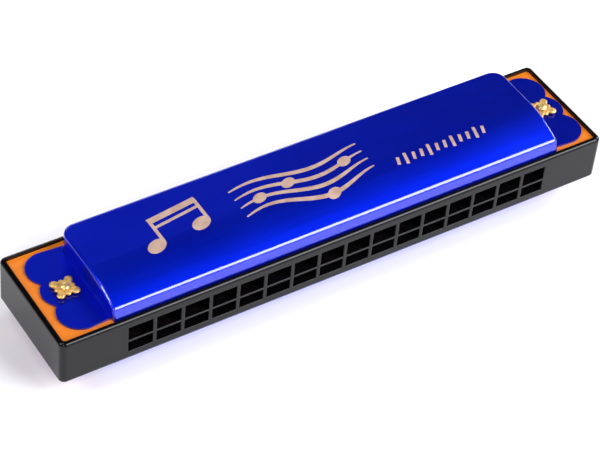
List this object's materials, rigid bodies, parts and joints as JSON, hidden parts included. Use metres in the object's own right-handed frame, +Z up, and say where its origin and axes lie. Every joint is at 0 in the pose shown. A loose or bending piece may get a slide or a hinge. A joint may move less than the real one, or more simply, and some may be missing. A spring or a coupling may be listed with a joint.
{
  "type": "tremolo harmonica",
  "caption": "Double-row tremolo harmonica: dark moulded comb, orange reed plates, free reeds in slots and arched blue metal covers nailed on through flower washers.",
  "frame": {"origin": "middle of the footprint, on the surface that the lower cover's flat back rests on", "axes": "+X along the instrument from low notes to high notes, -Y the mouth side, +Z up"},
  "size_m": [0.13, 0.027, 0.0206],
  "materials": {
    "comb": "moulded, semi-gloss near-black",
    "reed_plate": "satin orange sheet",
    "reed_brass": "drawn brass, satin",
    "cover": "lengthwise brushed, blue anodised",
    "fastener": "polished brass"
  },
  "bodies": {
    "root": {"comb": "comb", "upper_reed_plate": "reed_plate", "upper_reed_pads": "reed_brass", "upper_reed_rivets": "reed_brass", "upper_cover": "cover", "upper_cover_washers": "fastener", "upper_cover_nails": "fastener", "upper_plate_nails": "fastener", "lower_reed_plate": "reed_plate", "lower_reed_pads": "reed_brass", "lower_reed_rivets": "reed_brass", "lower_cover": "cover", "lower_cover_washers": "fastener", "lower_cover_nails": "fastener", "lower_plate_nails": "fastener"},
    "upper_reed_01": {"upper_reed_01": "reed_brass"},
    "upper_reed_02": {"upper_reed_02": "reed_brass"},
    "upper_reed_03": {"upper_reed_03": "reed_brass"},
    "upper_reed_04": {"upper_reed_04": "reed_brass"},
    "upper_reed_05": {"upper_reed_05": "reed_brass"},
    "upper_reed_06": {"upper_reed_06": "reed_brass"},
    "upper_reed_07": {"upper_reed_07": "reed_brass"},
    "upper_reed_08": {"upper_reed_08": "reed_brass"},
    "upper_reed_09": {"upper_reed_09": "reed_brass"},
    "upper_reed_10": {"upper_reed_10": "reed_brass"},
    "upper_reed_11": {"upper_reed_11": "reed_brass"},
    "upper_reed_12": {"upper_reed_12": "reed_brass"},
    "upper_reed_13": {"upper_reed_13": "reed_brass"},
    "upper_reed_14": {"upper_reed_14": "reed_brass"},
    "upper_reed_15": {"upper_reed_15": "reed_brass"},
    "upper_reed_16": {"upper_reed_16": "reed_brass"},
    "lower_reed_01": {"lower_reed_01": "reed_brass"},
    "lower_reed_02": {"lower_reed_02": "reed_brass"},
    "lower_reed_03": {"lower_reed_03": "reed_brass"},
    "lower_reed_04": {"lower_reed_04": "reed_brass"},
    "lower_reed_05": {"lower_reed_05": "reed_brass"},
    "lower_reed_06": {"lower_reed_06": "reed_brass"},
    "lower_reed_07": {"lower_reed_07": "reed_brass"},
    "lower_reed_08": {"lower_reed_08": "reed_brass"},
    "lower_reed_09": {"lower_reed_09": "reed_brass"},
    "lower_reed_10": {"lower_reed_10": "reed_brass"},
    "lower_reed_11": {"lower_reed_11": "reed_brass"},
    "lower_reed_12": {"lower_reed_12": "reed_brass"},
    "lower_reed_13": {"lower_reed_13": "reed_brass"},
    "lower_reed_14": {"lower_reed_14": "reed_brass"},
    "lower_reed_15": {"lower_reed_15": "reed_brass"},
    "lower_reed_16": {"lower_reed_16": "reed_brass"}
  },
  "joints": [
    {"name": "upper_reed_01_swing", "type": "hinge", "parent": "root", "child": "upper_reed_01", "pos_m": [-0.04748, 0.007, 0.0141], "axis": [1, 0, 0], "range_deg": [-4, 4], "stiffness_Nm_per_rad": 0.02375},
    {"name": "upper_reed_02_swing", "type": "hinge", "parent": "root", "child": "upper_reed_02", "pos_m": [-0.04115, -0.0082, 0.0153], "axis": [1, 0, 0], "range_deg": [-4, 4], "stiffness_Nm_per_rad": 0.02436},
    {"name": "upper_reed_03_swing", "type": "hinge", "parent": "root", "child": "upper_reed_03", "pos_m": [-0.03481, 0.0062, 0.0141], "axis": [1, 0, 0], "range_deg": [-4, 4], "stiffness_Nm_per_rad": 0.025},
    {"name": "upper_reed_04_swing", "type": "hinge", "parent": "root", "child": "upper_reed_04", "pos_m": [-0.02848, -0.0082, 0.0153], "axis": [1, 0, 0], "range_deg": [-4, 4], "stiffness_Nm_per_rad": 0.02568},
    {"name": "upper_reed_05_swing", "type": "hinge", "parent": "root", "child": "upper_reed_05", "pos_m": [-0.02216, 0.0054, 0.0141], "axis": [1, 0, 0], "range_deg": [-4, 4], "stiffness_Nm_per_rad": 0.02639},
    {"name": "upper_reed_06_swing", "type": "hinge", "parent": "root", "child": "upper_reed_06", "pos_m": [-0.01582, -0.0082, 0.0153], "axis": [1, 0, 0], "range_deg": [-4, 4], "stiffness_Nm_per_rad": 0.02714},
    {"name": "upper_reed_07_swing", "type": "hinge", "parent": "root", "child": "upper_reed_07", "pos_m": [-0.00949, 0.0046, 0.0141], "axis": [1, 0, 0], "range_deg": [-4, 4], "stiffness_Nm_per_rad": 0.02794},
    {"name": "upper_reed_08_swing", "type": "hinge", "parent": "root", "child": "upper_reed_08", "pos_m": [-0.00316, -0.0082, 0.0153], "axis": [1, 0, 0], "range_deg": [-4, 4], "stiffness_Nm_per_rad": 0.02879},
    {"name": "upper_reed_09_swing", "type": "hinge", "parent": "root", "child": "upper_reed_09", "pos_m": [0.00316, 0.0038, 0.0141], "axis": [1, 0, 0], "range_deg": [-4, 4], "stiffness_Nm_per_rad": 0.02969},
    {"name": "upper_reed_10_swing", "type": "hinge", "parent": "root", "child": "upper_reed_10", "pos_m": [0.00949, -0.0082, 0.0153], "axis": [1, 0, 0], "range_deg": [-4, 4], "stiffness_Nm_per_rad": 0.03065},
    {"name": "upper_reed_11_swing", "type": "hinge", "parent": "root", "child": "upper_reed_11", "pos_m": [0.01582, 0.003, 0.0141], "axis": [1, 0, 0], "range_deg": [-4, 4], "stiffness_Nm_per_rad": 0.03167},
    {"name": "upper_reed_12_swing", "type": "hinge", "parent": "root", "child": "upper_reed_12", "pos_m": [0.02216, -0.0082, 0.0153], "axis": [1, 0, 0], "range_deg": [-4, 4], "stiffness_Nm_per_rad": 0.03276},
    {"name": "upper_reed_13_swing", "type": "hinge", "parent": "root", "child": "upper_reed_13", "pos_m": [0.02848, 0.0022, 0.0141], "axis": [1, 0, 0], "range_deg": [-4, 4], "stiffness_Nm_per_rad": 0.03393},
    {"name": "upper_reed_14_swing", "type": "hinge", "parent": "root", "child": "upper_reed_14", "pos_m": [0.03481, -0.0082, 0.0153], "axis": [1, 0, 0], "range_deg": [-4, 4], "stiffness_Nm_per_rad": 0.03519},
    {"name": "upper_reed_15_swing", "type": "hinge", "parent": "root", "child": "upper_reed_15", "pos_m": [0.04115, 0.0014, 0.0141], "axis": [1, 0, 0], "range_deg": [-4, 4], "stiffness_Nm_per_rad": 0.03654},
    {"name": "upper_reed_16_swing", "type": "hinge", "parent": "root", "child": "upper_reed_16", "pos_m": [0.04748, -0.0082, 0.0153], "axis": [1, 0, 0], "range_deg": [-4, 4], "stiffness_Nm_per_rad": 0.038},
    {"name": "lower_reed_01_swing", "type": "hinge", "parent": "root", "child": "lower_reed_01", "pos_m": [-0.04748, 0.007, 0.0065], "axis": [1, 0, 0], "range_deg": [-4, 4], "stiffness_Nm_per_rad": 0.02375},
    {"name": "lower_reed_02_swing", "type": "hinge", "parent": "root", "child": "lower_reed_02", "pos_m": [-0.04115, -0.0082, 0.0053], "axis": [1, 0, 0], "range_deg": [-4, 4], "stiffness_Nm_per_rad": 0.02436},
    {"name": "lower_reed_03_swing", "type": "hinge", "parent": "root", "child": "lower_reed_03", "pos_m": [-0.03481, 0.0062, 0.0065], "axis": [1, 0, 0], "range_deg": [-4, 4], "stiffness_Nm_per_rad": 0.025},
    {"name": "lower_reed_04_swing", "type": "hinge", "parent": "root", "child": "lower_reed_04", "pos_m": [-0.02848, -0.0082, 0.0053], "axis": [1, 0, 0], "range_deg": [-4, 4], "stiffness_Nm_per_rad": 0.02568},
    {"name": "lower_reed_05_swing", "type": "hinge", "parent": "root", "child": "lower_reed_05", "pos_m": [-0.02216, 0.0054, 0.0065], "axis": [1, 0, 0], "range_deg": [-4, 4], "stiffness_Nm_per_rad": 0.02639},
    {"name": "lower_reed_06_swing", "type": "hinge", "parent": "root", "child": "lower_reed_06", "pos_m": [-0.01582, -0.0082, 0.0053], "axis": [1, 0, 0], "range_deg": [-4, 4], "stiffness_Nm_per_rad": 0.02714},
    {"name": "lower_reed_07_swing", "type": "hinge", "parent": "root", "child": "lower_reed_07", "pos_m": [-0.00949, 0.0046, 0.0065], "axis": [1, 0, 0], "range_deg": [-4, 4], "stiffness_Nm_per_rad": 0.02794},
    {"name": "lower_reed_08_swing", "type": "hinge", "parent": "root", "child": "lower_reed_08", "pos_m": [-0.00316, -0.0082, 0.0053], "axis": [1, 0, 0], "range_deg": [-4, 4], "stiffness_Nm_per_rad": 0.02879},
    {"name": "lower_reed_09_swing", "type": "hinge", "parent": "root", "child": "lower_reed_09", "pos_m": [0.00316, 0.0038, 0.0065], "axis": [1, 0, 0], "range_deg": [-4, 4], "stiffness_Nm_per_rad": 0.02969},
    {"name": "lower_reed_10_swing", "type": "hinge", "parent": "root", "child": "lower_reed_10", "pos_m": [0.00949, -0.0082, 0.0053], "axis": [1, 0, 0], "range_deg": [-4, 4], "stiffness_Nm_per_rad": 0.03065},
    {"name": "lower_reed_11_swing", "type": "hinge", "parent": "root", "child": "lower_reed_11", "pos_m": [0.01582, 0.003, 0.0065], "axis": [1, 0, 0], "range_deg": [-4, 4], "stiffness_Nm_per_rad": 0.03167},
    {"name": "lower_reed_12_swing", "type": "hinge", "parent": "root", "child": "lower_reed_12", "pos_m": [0.02216, -0.0082, 0.0053], "axis": [1, 0, 0], "range_deg": [-4, 4], "stiffness_Nm_per_rad": 0.03276},
    {"name": "lower_reed_13_swing", "type": "hinge", "parent": "root", "child": "lower_reed_13", "pos_m": [0.02848, 0.0022, 0.0065], "axis": [1, 0, 0], "range_deg": [-4, 4], "stiffness_Nm_per_rad": 0.03393},
    {"name": "lower_reed_14_swing", "type": "hinge", "parent": "root", "child": "lower_reed_14", "pos_m": [0.03481, -0.0082, 0.0053], "axis": [1, 0, 0], "range_deg": [-4, 4], "stiffness_Nm_per_rad": 0.03519},
    {"name": "lower_reed_15_swing", "type": "hinge", "parent": "root", "child": "lower_reed_15", "pos_m": [0.04115, 0.0014, 0.0065], "axis": [1, 0, 0], "range_deg": [-4, 4], "stiffness_Nm_per_rad": 0.03654},
    {"name": "lower_reed_16_swing", "type": "hinge", "parent": "root", "child": "lower_reed_16", "pos_m": [0.04748, -0.0082, 0.0053], "axis": [1, 0, 0], "range_deg": [-4, 4], "stiffness_Nm_per_rad": 0.038}
  ]
}
